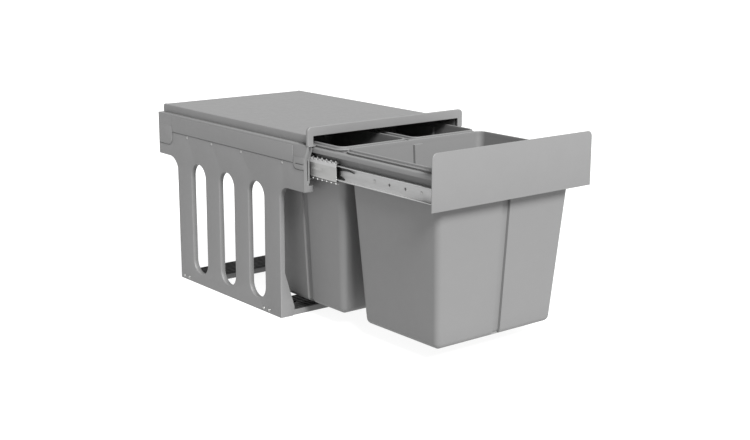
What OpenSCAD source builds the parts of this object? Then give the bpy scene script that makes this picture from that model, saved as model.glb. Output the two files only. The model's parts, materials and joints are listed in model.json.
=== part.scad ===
/* [Frame] */
// Overall width across the front panel and the lid's front
unit_w = 342; // [338:0.5:346]
// Height of the side frames
shoulder_z = 314.8; // [314:0.1:316]
// Height of the underside of the upper part of the side frames
shelf_z = 234.7; // [228:0.5:238]
// Depth of the legs along the cabinet floor
leg_d = 338; // [330:1:342]
// Reach of the side frame ahead of the leg at its lower edge
nose_low = 73; // [70:0.5:75]
// Reach of the side frame ahead of the leg at its upper edge
nose_high = 84; // [82:0.5:86]
// Reach of the side frame behind the leg
tail = 69; // [64:0.5:76]
// Thickness of the frame sheet
sheet_t = 1.5; // [1.2:0.1:1.6]
// Depth of the flange round the side frame
flange_w = 10; // [8:0.5:10]
// Width of the side frame's top flange
top_flange_w = 16.5; // [16:0.1:16.6]
// Radius of the corner between the leg and the front of the side frame
front_fillet_r = 22; // [16:1:26]
// Radius of the corner between the leg and the rear of the side frame
rear_fillet_r = 30; // [20:1:34]

/* [Slots] */
// Width of the slots in the legs
slot_w = 50; // [40:1:56]
// Distance between the centres of two slots
slot_pitch = 96; // [88:1:100]
// Height of the lower end of the slots
slot_z0 = 21; // [20:0.5:40]
// Height of the upper end of the slots
slot_z1 = 232; // [200:1:234]
// Depth of the collar turned in round each slot
slot_collar = 8; // [4:0.5:9]

/* [Lid] */
// Height of the lid above the side frames
lid_rise = 15.2; // [14.8:0.1:17]
// Distance of the lid's sides in from the sides of the unit
lid_inset = 11; // [10.6:0.1:11.2]
// Thickness of the lid sheet
lid_t = 1.2; // [1:0.1:1.3]
// Radius of the lid's rear corners
lid_corner_r = 5; // [5:0.5:12]
// Height of the front upstand above the lid
lip_rise = 16; // [12:0.5:18]
// Depth of the folded front upstand
lip_d = 5.5; // [4.5:0.1:7]

/* [Base] */
// Depth of each base rail
rail_d = 68; // [60:1:76]
// Height of each base rail
rail_h = 10; // [9:0.5:11]
// Distance between the base screw holes across the unit
screw_span_x = 240; // [200:2:250]
// Diameter of the base screw holes
screw_hole_d = 5; // [4:0.1:5.5]

/* [Slides] */
// Height of the middle of the slides
slide_z = 277.5; // [277:0.1:278]
// Length of the outer and inner slide members
slide_l = 450; // [440:1:452]
// Length of the middle slide member
middle_l = 440; // [430:1:445]
// Height of the outer slide member
outer_h = 42.4; // [42.2:0.1:43.2]
// Height of the middle slide member
middle_h = 32; // [31.8:0.1:32.2]
// Height of the inner slide member
inner_h = 24.4; // [24.2:0.1:24.5]
// Diameter of the balls in the outer tracks
outer_ball_d = 3.8; // [3.4:0.05:3.8]
// Diameter of the balls in the inner tracks
inner_ball_d = 3; // [2.6:0.05:3]
// Distance between neighbouring balls
ball_pitch = 12.5; // [11:0.5:13]

/* [Drawer] */
// How far the drawer stands open
opened = 305; // [290:1:306]
// Height of the front panel
panel_h = 89.3; // [84:0.5:92]
// Height of the front panel's lower edge
panel_z0 = 257.5; // [254:0.5:260]
// Thickness of the front panel
panel_t = 2; // [1.5:0.1:2.5]
// Radius of the front panel's top corners
panel_r = 9.5; // [4:0.5:16]
// Height of the lower edge of the drawer rails
drawer_rail_z0 = 262; // [258:0.5:262.5]

/* [Bins] */
// Height of the underside of the bins
bin_z0 = 26.7; // [20:0.1:60]
// Wall thickness of the bins
bin_t = 2; // [1.6:0.1:2.4]
// Depth of the front bin at its top, body without rim
front_bin_d = 221; // [216:0.5:222]
// Depth of the rear bins at their top, body without rim
rear_bin_d = 218; // [212:0.5:218]
// Half the width of the bins at their underside
bin_foot_half_w = 125; // [118:0.5:128]
// Radius of the bins' upright corners
bin_corner_r = 10; // [8:0.5:12]
// Width of the rim beyond the bin wall
rim_out = 6.4; // [6.2:0.1:6.5]
// Gap between the rims of the two rear bins
bin_gap = 4; // [3:0.5:6]

/* [Hidden] */
$fn = 48;
eps = 0.01;

half_w = unit_w / 2;
leg_y0 = -leg_d / 2;
leg_y1 = leg_d / 2;
nose_low_y = leg_y0 - nose_low;
nose_high_y = leg_y0 - nose_high;
tail_y = leg_y1 + tail;

// Side frame skin: the band above the crease stands proud of it
band_out = 0.8;
skin_x1 = half_w - band_out;
skin_x0 = skin_x1 - sheet_t;
flange_x0 = half_w - flange_w;
top_flange_x0 = half_w - top_flange_w;
slant_z = shoulder_z - 23.8;
crease_z = slide_z + 5;
seam_w = 1.5;
seam_deep = 0.6 * sheet_t;
pad_edge = 2.2;
front_pad_l = 31;
rear_pad_l = 50;
front_pad_y0 = nose_low_y + pad_edge;
front_pad_y1 = nose_low_y + front_pad_l;
front_pad_z0 = slide_z - 4.5;
front_pad_r = 8;
rear_pad_y0 = tail_y - rear_pad_l;
rear_pad_y1 = tail_y - pad_edge;
rear_pad_z0 = slide_z - 20.5;
rear_pad_r = 13;
pad_z1 = slide_z + 15.5;
lip_groove_x = flange_x0 + 1.8;
slot_ys = [-slot_pitch, 0, slot_pitch];
slot_r = slot_w / 2;
gusset_x = 142;
gusset_z0 = 17;
gusset_z1 = 83;

// Lid
lid_half_w = half_w - lid_inset;
mouth_half_w = lid_half_w - 0.6;
lid_z = shoulder_z + lid_rise;
lip_z = lid_z + lip_rise;
lip_r = 8;
lid_fold_r = 3;
lid_rivet_x = (top_flange_x0 + lid_half_w - lid_t) / 2;
lid_rivet_ys = [for (t = [0.108, 0.393, 0.678, 0.923]) nose_high_y + t * (tail_y - nose_high_y)];

// Base
base_y = leg_d / 2 - sheet_t - rail_d / 2;
cover_t = 2.2;
rib_h = 1;
rib_count = 8;
rib_pitch = (rail_d - 2.4) / rib_count;
side_screw_z = 6;
side_screw_dy = 8.8;
side_screw_mids = [46 - leg_d / 2, leg_d / 2 - 21];

// Slide section, measured inboard to outboard from the drawer rail's web
slide_t = 12.7;
slide_x0 = flange_x0 - 0.2 - slide_t;
gauge = 1.2;
ball_u = 5.5;
play = 0.15;
outer_track_z = outer_h / 2 - 3.3;
inner_track_z = inner_h / 2 + 1.2;
middle_web_u = slide_t - 2 * gauge - 1.2;
shoulder_r = 4;
cage_cut = 1.6;
outer_y0 = nose_low_y + 1;
middle_front_shut = nose_low_y - 5;
middle_ratio = 0.216;
middle_y0 = middle_front_shut - opened * middle_ratio;
cage_y0 = middle_y0;
outer_ball_count = 9;
outer_cage_l = outer_ball_count * ball_pitch;
inner_ball_count = 7;
inner_cage_l = inner_ball_count * ball_pitch;
slide_rivet_ys = [for (t = [-0.527, -0.152, 0.138, 0.392]) t * leg_d];
bracket_t = 1.5;
bracket_y0 = slide_rivet_ys[0] - 12;
bracket_y1 = slide_rivet_ys[3] + 17;
bracket_h = outer_h / 2 - 2.2;
bracket_slot_h = bracket_h - 10;

// Drawer
panel_back_y = nose_high_y - 1 - opened;
inner_y0 = panel_back_y + 2;
inner_y1 = inner_y0 + slide_l;
inner_cage_y0 = (middle_y0 + inner_y1 - inner_cage_l) / 2;
lever_y1 = middle_y0 - 2.6;
lever_l = 36;
lever_w = 7;
lever_h = 9;
rail_web_x0 = slide_x0 - sheet_t;
rail_top_z = shoulder_z - 3.3;
rail_out_x = slide_x0 + 10.4;
rail_lip_z0 = rail_top_z - 8.5;
rail_y0 = panel_back_y;
rail_l = 478;
rail_y1 = rail_y0 + rail_l;
rail_rivet_ys = [for (t = [0.098, 0.349, 0.889]) inner_y0 + t * slide_l];
cross_h = 12;
panel_screw_x = 120;
panel_screw_zs = [272, 300];

// Bins
rim_z0 = rail_top_z + 0.3;
ledge_z = rim_z0 + 4.7;
rim_z1 = ledge_z + 2.4;
bin_half_w = rail_web_x0 - 0.6;
outer_taper = 22;
front_inner_taper = 19;
rear_inner_taper = 14.5;
side_inner_taper = 9;
bead_out = 2.2;
front_bin_y0 = panel_back_y + 11;
front_bin_y1 = front_bin_y0 + front_bin_d;
rear_bin_y1 = rail_y1 - 12.5;
rear_bin_y0 = rear_bin_y1 - rear_bin_d;
rear_bin_x0 = bin_gap / 2 + rim_out;
foot_r = 6;
groove_w = 16;
groove_deep = 4.5;

// Draws a side-view outline (Y, Z) as a slab between two X planes
module along_x(x0, x1) {
    translate([x0, 0, 0]) rotate([90, 0, 90]) linear_extrude(x1 - x0) children();
}

// Draws a front-view outline (X, Z) as a slab between two Y planes
module along_y(y0, y1) {
    translate([0, y1, 0]) rotate([90, 0, 0]) linear_extrude(y1 - y0) children();
}

module box(x0, x1, y0, y1, z0, z1) {
    translate([x0, y0, z0]) cube([x1 - x0, y1 - y0, z1 - z0]);
}

module pin_x(x0, x1, y, z, r) {
    translate([x0, y, z]) rotate([0, 90, 0]) cylinder(r = r, h = x1 - x0);
}

module pin_y(y0, y1, x, z, r) {
    translate([x, y1, z]) rotate([90, 0, 0]) cylinder(r = r, h = y1 - y0);
}

module left() {
    mirror([1, 0, 0]) children();
}

// Side frame
module side_outline(i = 0) {
    polygon([
        [nose_low_y + i, shelf_z + i], [tail_y - i, shelf_z + i],
        [tail_y - i, shoulder_z - i], [nose_high_y + i, shoulder_z - i],
        [nose_low_y + i, slant_z]
    ]);
    translate([leg_y0 + i, 0]) square([leg_d - 2 * i, shelf_z + i + 1]);
    difference() {
        translate([leg_y0 - front_fillet_r, shelf_z - front_fillet_r])
            square([front_fillet_r + i + 2, front_fillet_r + i + 2]);
        translate([leg_y0 - front_fillet_r, shelf_z - front_fillet_r])
            circle(r = front_fillet_r + i);
    }
    difference() {
        translate([leg_y1 - i - 2, shelf_z - rear_fillet_r])
            square([rear_fillet_r + i + 2, rear_fillet_r + i + 2]);
        translate([leg_y1 + rear_fillet_r, shelf_z - rear_fillet_r])
            circle(r = rear_fillet_r + i);
    }
}

module slot_outline(y, grow = 0) {
    translate([y, slot_z0 + slot_r]) circle(r = slot_r + grow);
    translate([y, slot_z1 - slot_r]) circle(r = slot_r + grow);
    translate([y - slot_r - grow, slot_z0 + slot_r])
        square([slot_w + 2 * grow, slot_z1 - slot_z0 - slot_w]);
}

module front_pad(i = 0) {
    translate([front_pad_y0, front_pad_z0 + front_pad_r])
        square([front_pad_y1 - front_pad_y0 + i, pad_z1 - front_pad_z0 - front_pad_r]);
    translate([front_pad_y0, front_pad_z0 - i])
        square([front_pad_y1 - front_pad_r - front_pad_y0, front_pad_r + i + 1]);
    translate([front_pad_y1 - front_pad_r, front_pad_z0 + front_pad_r]) circle(r = front_pad_r + i);
}

module rear_pad(i = 0) {
    translate([rear_pad_y0 - i, rear_pad_z0 + rear_pad_r])
        square([rear_pad_y1 - rear_pad_y0 + i, pad_z1 - rear_pad_z0 - rear_pad_r]);
    translate([rear_pad_y0 + rear_pad_r, rear_pad_z0 - i])
        square([rear_pad_y1 - rear_pad_y0 - rear_pad_r, rear_pad_r + i + 1]);
    translate([rear_pad_y0 + rear_pad_r, rear_pad_z0 + rear_pad_r]) circle(r = rear_pad_r + i);
}

// Seam under the band and round the pads at its ends
module seam_outline() {
    difference() {
        union() {
            front_pad(seam_w);
            rear_pad(seam_w);
            translate([front_pad_y1, crease_z - seam_w]) square([rear_pad_y0 - front_pad_y1, seam_w]);
        }
        front_pad();
        rear_pad();
    }
    translate([front_pad_y0, front_pad_z0 + front_pad_r])
        square([front_pad_y1 - front_pad_y0 - 6, seam_w]);
}

module side_frame() {
    difference() {
        union() {
            along_x(skin_x0, skin_x1) side_outline();
            difference() {
                along_x(flange_x0, skin_x1) side_outline();
                along_x(flange_x0 - 1, skin_x0) side_outline(sheet_t);
                box(flange_x0 - 1, skin_x0, leg_y0 + sheet_t, leg_y1 - sheet_t, -1, 10);
            }
            box(top_flange_x0, skin_x0, nose_high_y, tail_y, shoulder_z - sheet_t, shoulder_z);
            box(skin_x1 - eps, half_w, front_pad_y1 + seam_w, rear_pad_y0 - seam_w,
                crease_z, shoulder_z - 4);
            along_x(skin_x1 - eps, half_w) {
                front_pad();
                rear_pad();
            }
            for (y = slot_ys) along_x(skin_x0 - slot_collar, skin_x0 + eps) slot_outline(y, sheet_t);
            along_y(leg_y0, leg_y0 + sheet_t) polygon([
                [flange_x0 + 1, gusset_z1], [gusset_x, gusset_z0], [gusset_x, 4],
                [gusset_x + 4, 0], [skin_x0, 0], [skin_x0, gusset_z1]
            ]);
            box(flange_x0 - 8, flange_x0 + 1, nose_low_y, nose_low_y + sheet_t, shelf_z, shelf_z + 11);
        }
        along_x(skin_x1 - seam_deep, half_w + 1) seam_outline();
        along_x(lip_groove_x, lip_groove_x + seam_w) polygon([
            [nose_low_y - 1, shelf_z + 14], [nose_low_y + seam_deep, shelf_z + 14],
            [nose_low_y + seam_deep, slant_z], [nose_high_y + seam_deep, shoulder_z - 4],
            [nose_high_y - 1, shoulder_z - 4], [nose_low_y - 1, slant_z]
        ]);
        for (y = slot_ys) along_x(flange_x0 - 2, half_w + 1) slot_outline(y);
        for (y = slide_rivet_ys) pin_x(skin_x0 - 1, half_w + 1, y, slide_z, 2);
        for (y = lid_rivet_ys)
            translate([lid_rivet_x, y, shoulder_z - 5]) cylinder(r = 1.4, h = 10);
        for (mid = side_screw_mids, d = [-1, 1])
            pin_x(skin_x0 - 1, half_w + 1, mid + d * side_screw_dy, side_screw_z, 1.5);
    }
}

module side_frame_right() {
    color("dimgray") side_frame();
}

module side_frame_left() {
    color("dimgray") left() side_frame();
}

// Lid with its folded front
module lid_profile(i = 0) {
    translate([-lid_half_w + i, shoulder_z - 1])
        square([2 * (lid_half_w - i), lid_rise + 1 - lid_fold_r]);
    translate([-lid_half_w + lid_fold_r, lid_z - lid_fold_r - 1])
        square([2 * (lid_half_w - lid_fold_r), lid_fold_r + 1 - i]);
    for (s = [-1, 1]) translate([s * (lid_half_w - lid_fold_r), lid_z - lid_fold_r])
        circle(r = lid_fold_r - i);
}

module lid_plan(i = 0) {
    translate([-lid_half_w + i, nose_high_y + 1])
        square([2 * (lid_half_w - i), tail_y - nose_high_y - 1 - lid_corner_r]);
    translate([-lid_half_w + lid_corner_r, tail_y - lid_corner_r - 1])
        square([2 * (lid_half_w - lid_corner_r), lid_corner_r + 1 - i]);
    for (s = [-1, 1]) translate([s * (lid_half_w - lid_corner_r), tail_y - lid_corner_r])
        circle(r = lid_corner_r - i);
}

module lip_outline(i = 0) {
    translate([-half_w + i, shoulder_z])
        square([2 * (half_w - i), lip_z - lip_r - shoulder_z]);
    translate([-half_w + lip_r, lid_z])
        square([2 * (half_w - lip_r), lip_rise - i]);
    for (s = [-1, 1]) translate([s * (half_w - lip_r), lip_z - lip_r]) circle(r = lip_r - i);
}

module lid() {
    color("gray") difference() {
        union() {
            difference() {
                intersection() {
                    along_y(nose_high_y + lip_d - lid_t, tail_y + 1) lid_profile();
                    translate([0, 0, shoulder_z]) linear_extrude(lid_rise) lid_plan();
                }
                intersection() {
                    along_y(nose_high_y, tail_y + 1) lid_profile(lid_t);
                    translate([0, 0, shoulder_z - 1]) linear_extrude(lid_rise + 2) lid_plan(lid_t);
                }
            }
            for (s = [-1, 1]) along_y(nose_high_y + lip_d, tail_y - lid_corner_r)
                translate([s > 0 ? top_flange_x0 : -lid_half_w + lid_t - eps, shoulder_z])
                square([lid_half_w - lid_t - top_flange_x0 + eps, lid_t]);
            along_y(nose_high_y, nose_high_y + lid_t) lip_outline();
            difference() {
                along_y(nose_high_y, nose_high_y + lip_d) lip_outline();
                along_y(nose_high_y - 1, nose_high_y + lip_d + 1) lip_outline(lid_t);
            }
            along_y(nose_high_y + lip_d - lid_t, nose_high_y + lip_d) difference() {
                lip_outline();
                translate([-lid_half_w + lid_t, 0])
                    square([2 * (lid_half_w - lid_t), lid_z - lid_t]);
            }
        }
        box(-mouth_half_w, mouth_half_w, nose_high_y - 1, nose_high_y + lid_t + eps,
            shoulder_z - 1, lid_z + 0.5);
        for (s = [-1, 1], y = lid_rivet_ys)
            translate([s * lid_rivet_x, y, shoulder_z - 5]) cylinder(r = 1.4, h = 10);
    }
}

module lid_rivets() {
    color("silver") for (s = [-1, 1], y = lid_rivet_ys) translate([s * lid_rivet_x, y, 0]) {
        translate([0, 0, shoulder_z - sheet_t - 0.7]) cylinder(r = 1.9, h = 0.7);
        translate([0, 0, shoulder_z - sheet_t]) cylinder(r = 1.4, h = sheet_t + lid_t);
        translate([0, 0, shoulder_z + lid_t]) cylinder(r = 1.9, h = 0.7);
    }
}

// Base
module base_rail(cy) {
    y0 = cy - rail_d / 2;
    y1 = cy + rail_d / 2;
    difference() {
        box(-skin_x0, skin_x0, y0, y1, 0, rail_h);
        box(-skin_x0 + sheet_t, skin_x0 - sheet_t, y0 + sheet_t, y1 - sheet_t, sheet_t, rail_h + 1);
        for (s = [-1, 1]) translate([s * screw_span_x / 2, cy, -1])
            cylinder(d = screw_hole_d, h = sheet_t + 2);
        for (s = [-1, 1], d = [-1, 1])
            pin_x(s > 0 ? skin_x0 - 3 : -skin_x0 - 1, s > 0 ? skin_x0 + 1 : -skin_x0 + 3,
                side_screw_mids[cy < 0 ? 0 : 1] + d * side_screw_dy, side_screw_z, 1.5);
    }
}

module base_rail_front() {
    color("slategray") base_rail(-base_y);
}

module base_rail_rear() {
    color("slategray") base_rail(base_y);
}

module base_cover(cy) {
    y0 = cy - rail_d / 2;
    y1 = cy + rail_d / 2;
    x1 = flange_x0 - 3;
    difference() {
        union() {
            box(-x1, x1, y0 + 0.5, y1 - 0.5, rail_h, rail_h + cover_t);
            for (k = [0:rib_count - 1]) box(-x1 + 4, x1 - 4, y0 + 4 + k * rib_pitch, y0 + 6 + k * rib_pitch,
                rail_h + cover_t - eps, rail_h + cover_t + rib_h);
            for (y = [y0 + sheet_t + 0.1, y1 - sheet_t - 1.6])
                box(-x1 + 4, x1 - 4, y, y + 1.5, rail_h - 4, rail_h + eps);
        }
        for (s = [-1, 1]) translate([s * screw_span_x / 2, cy, rail_h - 1]) cylinder(r = 6, h = 9);
    }
}

module base_cover_front() {
    color("black") base_cover(-base_y);
}

module base_cover_rear() {
    color("black") base_cover(base_y);
}

module base_side_screws() {
    for (mid = side_screw_mids, d = [-1, 1]) {
        y = mid + d * side_screw_dy;
        pin_x(skin_x0 - sheet_t - 1.5, skin_x1, y, side_screw_z, 1.5);
        pin_x(skin_x1, skin_x1 + 0.8, y, side_screw_z, 3);
    }
}

module base_side_screws_right() {
    color("silver") base_side_screws();
}

module base_side_screws_left() {
    color("silver") left() base_side_screws();
}

// Slides, drawn on the right hand side
module along_slide(y0, l) {
    translate([slide_x0, 0, slide_z]) along_y(y0, y0 + l) children();
}

module track(z, r) {
    for (s = [-1, 1]) translate([ball_u, s * z]) circle(r = r);
}

module slide_bracket() {
    h = bracket_h;
    along_y(bracket_y0, bracket_y1) translate([slide_x0 + slide_t, slide_z]) difference() {
        translate([0, -h]) square([skin_x0 - slide_x0 - slide_t, 2 * h]);
        translate([bracket_t, -h + bracket_t])
            square([skin_x0 - slide_x0 - slide_t - 2 * bracket_t, 2 * (h - bracket_t)]);
        translate([-1, -bracket_slot_h]) square([bracket_t + 2, 2 * bracket_slot_h]);
    }
}

module drilled_bracket() {
    difference() {
        slide_bracket();
        for (y = slide_rivet_ys) pin_x(skin_x0 - bracket_t - 1, skin_x0 + 1, y, slide_z, 2);
    }
}

module slide_bracket_right() {
    color("gray") drilled_bracket();
}

module slide_bracket_left() {
    color("gray") left() drilled_bracket();
}

module slide_rivets() {
    for (y = slide_rivet_ys) {
        pin_x(skin_x0 - bracket_t - 0.9, skin_x0 - bracket_t, y, slide_z, 3.2);
        pin_x(skin_x0 - bracket_t, skin_x1, y, slide_z, 2);
        pin_x(skin_x1, half_w, y, slide_z, 2.6);
    }
}

module slide_rivets_right() {
    color("silver") slide_rivets();
}

module slide_rivets_left() {
    color("silver") left() slide_rivets();
}

module slide_outer() {
    h = outer_h / 2;
    difference() {
        along_slide(outer_y0, slide_l) difference() {
            translate([3.4, -h]) square([slide_t - 3.4, outer_h]);
            translate([2, -h + 1.9]) square([slide_t - 2 - gauge, outer_h - 3.8]);
            track(outer_track_z, outer_ball_d / 2 + play);
            for (s = [-1, 1]) translate([slide_t, s * h]) rotate(45) square(2.4, center = true);
        }
        for (t = [0.062, 0.444, 0.889])
            pin_x(slide_x0 + slide_t - 3, slide_x0 + slide_t + 1, outer_y0 + t * slide_l, slide_z, 3);
    }
}

module slide_outer_right() {
    color("lightgray") slide_outer();
}

module slide_outer_left() {
    color("lightgray") left() slide_outer();
}

module middle_shape(i, tip_u) {
    h = middle_h / 2 - i;
    r = shoulder_r - i;
    web_u = middle_web_u + gauge - i;
    intersection() {
        union() {
            translate([tip_u - 1, -h]) square([web_u - r - tip_u + 1, 2 * h]);
            translate([tip_u - 1, -h + r]) square([web_u - tip_u + 1, 2 * (h - r)]);
            for (s = [-1, 1]) translate([web_u - r, s * (h - r)]) circle(r = r);
        }
        translate([tip_u, -h - 1]) square([web_u + 1 - tip_u, 2 * h + 2]);
    }
}

module slide_middle() {
    difference() {
        along_slide(middle_y0, middle_l) difference() {
            middle_shape(0, 2.9);
            middle_shape(gauge + 0.2, 1.9);
            track(outer_track_z, outer_ball_d / 2 + play);
            track(inner_track_z, inner_ball_d / 2 + play);
        }
        for (t = [0.09, 0.5, 0.91])
            pin_x(slide_x0, slide_x0 + slide_t, middle_y0 + t * middle_l, slide_z, 2.5);
    }
}

module slide_middle_right() {
    color("silver") slide_middle();
}

module slide_middle_left() {
    color("silver") left() slide_middle();
}

// A ball cage is a thin channel with cut corners and one hole for every ball
module channel(tip_u, web_u, z, cut) {
    polygon([
        [tip_u, -z], [web_u - cut, -z], [web_u, cut - z],
        [web_u, z - cut], [web_u - cut, z], [tip_u, z]
    ]);
}

module cage(y0, l, web_u, z0, z1, count, ball_r) {
    difference() {
        along_slide(y0, l) difference() {
            channel(3.2, web_u + 0.5, z1, cage_cut);
            channel(2.2, web_u, z0, cage_cut - 0.65);
        }
        for (k = [0:count - 1])
            translate([slide_x0 + ball_u, y0 + (k + 0.5) * ball_pitch, slide_z - z1 - 2])
            cylinder(r = ball_r + 0.1, h = 2 * z1 + 4);
    }
}

module balls(y0, z, r, count) {
    for (k = [0:count - 1], s = [-1, 1])
        translate([slide_x0 + ball_u, y0 + (k + 0.5) * ball_pitch, slide_z + s * z])
        sphere(r = r, $fn = 32);
}

module outer_ball_cage() {
    cage(cage_y0, outer_cage_l, middle_web_u + gauge + 0.3, outer_track_z - 0.7,
        outer_track_z + 0.6, outer_ball_count, outer_ball_d / 2);
}

module outer_ball_cage_right() {
    color("whitesmoke") outer_ball_cage();
}

module outer_ball_cage_left() {
    color("whitesmoke") left() outer_ball_cage();
}

module outer_balls_right() {
    color("gainsboro") balls(cage_y0, outer_track_z, outer_ball_d / 2, outer_ball_count);
}

module outer_balls_left() {
    color("gainsboro") left() balls(cage_y0, outer_track_z, outer_ball_d / 2, outer_ball_count);
}

module inner_ball_cage() {
    cage(inner_cage_y0, inner_cage_l, middle_web_u - 0.9, inner_track_z - 0.5,
        inner_track_z + 0.5, inner_ball_count, inner_ball_d / 2);
}

module inner_ball_cage_right() {
    color("whitesmoke") inner_ball_cage();
}

module inner_ball_cage_left() {
    color("whitesmoke") left() inner_ball_cage();
}

module inner_balls_right() {
    color("gainsboro") balls(inner_cage_y0, inner_track_z, inner_ball_d / 2, inner_ball_count);
}

module inner_balls_left() {
    color("gainsboro") left() balls(inner_cage_y0, inner_track_z, inner_ball_d / 2, inner_ball_count);
}

module slide_inner() {
    h = inner_h / 2;
    difference() {
        along_slide(inner_y0, slide_l) difference() {
            translate([0, -h]) square([7.4, inner_h]);
            translate([gauge, -h + gauge]) square([8, inner_h - 2 * gauge]);
            track(inner_track_z, inner_ball_d / 2 + play);
        }
        for (t = [0.182, 0.267])
            pin_x(slide_x0 - 1, slide_x0 + 3, inner_y0 + t * slide_l, slide_z, 2.4);
        for (y = rail_rivet_ys) pin_x(slide_x0 - 1, slide_x0 + 3, y, slide_z, 1.8);
    }
}

module slide_inner_right() {
    color("lightgray") slide_inner();
}

module slide_inner_left() {
    color("lightgray") left() slide_inner();
}

module release_lever() {
    y0 = lever_y1 - lever_w;
    along_x(slide_x0 + gauge, slide_x0 + gauge + 2.2) translate([0, slide_z]) {
        translate([y0, -lever_h]) square([lever_w, 2 * lever_h]);
        polygon([
            [y0 + 1, lever_h], [lever_y1 - lever_l, lever_h], [lever_y1 - lever_l, lever_h - 2],
            [y0, 2], [y0 + 1, 2]
        ]);
        polygon([
            [y0 - 10, -lever_h], [y0 + 1, -lever_h], [y0 + 1, -lever_h + 5],
            [y0, -lever_h + 5], [y0 - 10, -lever_h + 2]
        ]);
    }
}

module release_lever_right() {
    color("black") release_lever();
}

module release_lever_left() {
    color("black") left() release_lever();
}

// Drawer rails: a web beside the slide and a hood over it
module rail_hood(i) {
    r = 3 - i;
    translate([rail_web_x0 + i, drawer_rail_z0])
        square([rail_out_x - rail_web_x0 - 2 * i, rail_top_z - drawer_rail_z0 - r - i]);
    translate([rail_web_x0 + i + r, rail_top_z - 5])
        square([rail_out_x - rail_web_x0 - 2 * (i + r), 5 - i]);
    for (x = [rail_web_x0 + i + r, rail_out_x - i - r]) translate([x, rail_top_z - i - r]) circle(r = r);
}

module drawer_rail() {
    difference() {
        along_y(rail_y0, rail_y1) difference() {
            rail_hood(0);
            difference() {
                rail_hood(sheet_t);
                translate([0, 0]) square([rail_web_x0 + sheet_t, rail_top_z]);
            }
            translate([rail_web_x0 + sheet_t, drawer_rail_z0 - 1])
                square([rail_out_x - rail_web_x0, rail_lip_z0 - drawer_rail_z0 + 1]);
        }
        for (y = rail_rivet_ys) pin_x(rail_web_x0 - 1, slide_x0 + 1, y, slide_z, 1.8);
    }
}

module drawer_rail_right() {
    color("darkgray") drawer_rail();
}

module drawer_rail_left() {
    color("darkgray") left() drawer_rail();
}

module rail_rivets() {
    for (y = rail_rivet_ys) {
        pin_x(rail_web_x0 - 0.8, rail_web_x0, y, slide_z, 2.8);
        pin_x(rail_web_x0, slide_x0 + gauge, y, slide_z, 1.8);
        pin_x(slide_x0 + gauge, slide_x0 + gauge + 0.8, y, slide_z, 2.8);
    }
}

module rail_rivets_right() {
    color("silver") rail_rivets();
}

module rail_rivets_left() {
    color("silver") left() rail_rivets();
}

// Cross bars between the drawer rails
module cross_bar(y0, y1) {
    z0 = rail_top_z - cross_h;
    difference() {
        box(-rail_web_x0, rail_web_x0, y0, y1, z0, rail_top_z);
        box(-rail_web_x0 - 1, rail_web_x0 + 1, y0 + sheet_t, y1 - sheet_t, z0 - 1, rail_top_z - sheet_t);
    }
}

module drawer_cross_middle() {
    color("darkgray") cross_bar(front_bin_y1 + 1.2, rear_bin_y0 - 1.2);
}

module drawer_cross_rear() {
    color("darkgray") cross_bar(rear_bin_y1 + 0.8, rail_y1);
}

module drawer_cross_front() {
    color("darkgray") difference() {
        union() {
            box(-rail_web_x0, rail_web_x0, panel_back_y, panel_back_y + sheet_t,
                drawer_rail_z0, rail_top_z);
            box(-rail_web_x0, rail_web_x0, panel_back_y, front_bin_y0 - 0.8,
                rail_top_z - sheet_t, rail_top_z);
        }
        for (s = [-1, 1], z = panel_screw_zs)
            pin_y(panel_back_y - 1, panel_back_y + 3, s * panel_screw_x, z, 2);
    }
}

module front_panel() {
    z1 = panel_z0 + panel_h;
    color("gray") difference() {
        along_y(panel_back_y - panel_t, panel_back_y) {
            translate([-half_w, panel_z0]) square([unit_w, panel_h - panel_r]);
            translate([-half_w + panel_r, z1 - panel_r - 1])
                square([unit_w - 2 * panel_r, panel_r + 1]);
            for (s = [-1, 1]) translate([s * (half_w - panel_r), z1 - panel_r]) circle(r = panel_r);
        }
        for (s = [-1, 1], z = panel_screw_zs)
            pin_y(panel_back_y - 1.2, panel_back_y + 1, s * panel_screw_x, z, 2);
    }
}

module front_panel_screws() {
    color("silver") for (s = [-1, 1], z = panel_screw_zs) {
        pin_y(panel_back_y - 1.2, panel_back_y + sheet_t, s * panel_screw_x, z, 2);
        pin_y(panel_back_y + sheet_t, panel_back_y + sheet_t + 1.8, s * panel_screw_x, z, 3.8);
    }
}

// Bins: foot and mouth are [x0, x1, y0, y1] at the underside and at the rim
function inset(b, i) = [b[0] + i, b[1] - i, b[2] + i, b[3] - i];
function middle(a, b) = (a + b) / 2;

module rounded_plan(b, r) {
    translate([b[0] + r, b[2]]) square([b[1] - b[0] - 2 * r, b[3] - b[2]]);
    translate([b[0], b[2] + r]) square([b[1] - b[0], b[3] - b[2] - 2 * r]);
    for (x = [b[0] + r, b[1] - r], y = [b[2] + r, b[3] - r]) translate([x, y]) circle(r = r);
}

module taper(foot, mouth, r, z0, z1) {
    hull() {
        translate([0, 0, z0]) linear_extrude(eps) rounded_plan(inset(foot, foot_r), r - 4);
        translate([0, 0, z0 + 1.8]) linear_extrude(eps) rounded_plan(inset(foot, 1.8), r - 1);
        translate([0, 0, z0 + foot_r]) linear_extrude(eps) rounded_plan(inset(foot, -0.4), r);
        translate([0, 0, z1 - eps]) linear_extrude(eps) rounded_plan(mouth, r + 4);
    }
}

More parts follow.
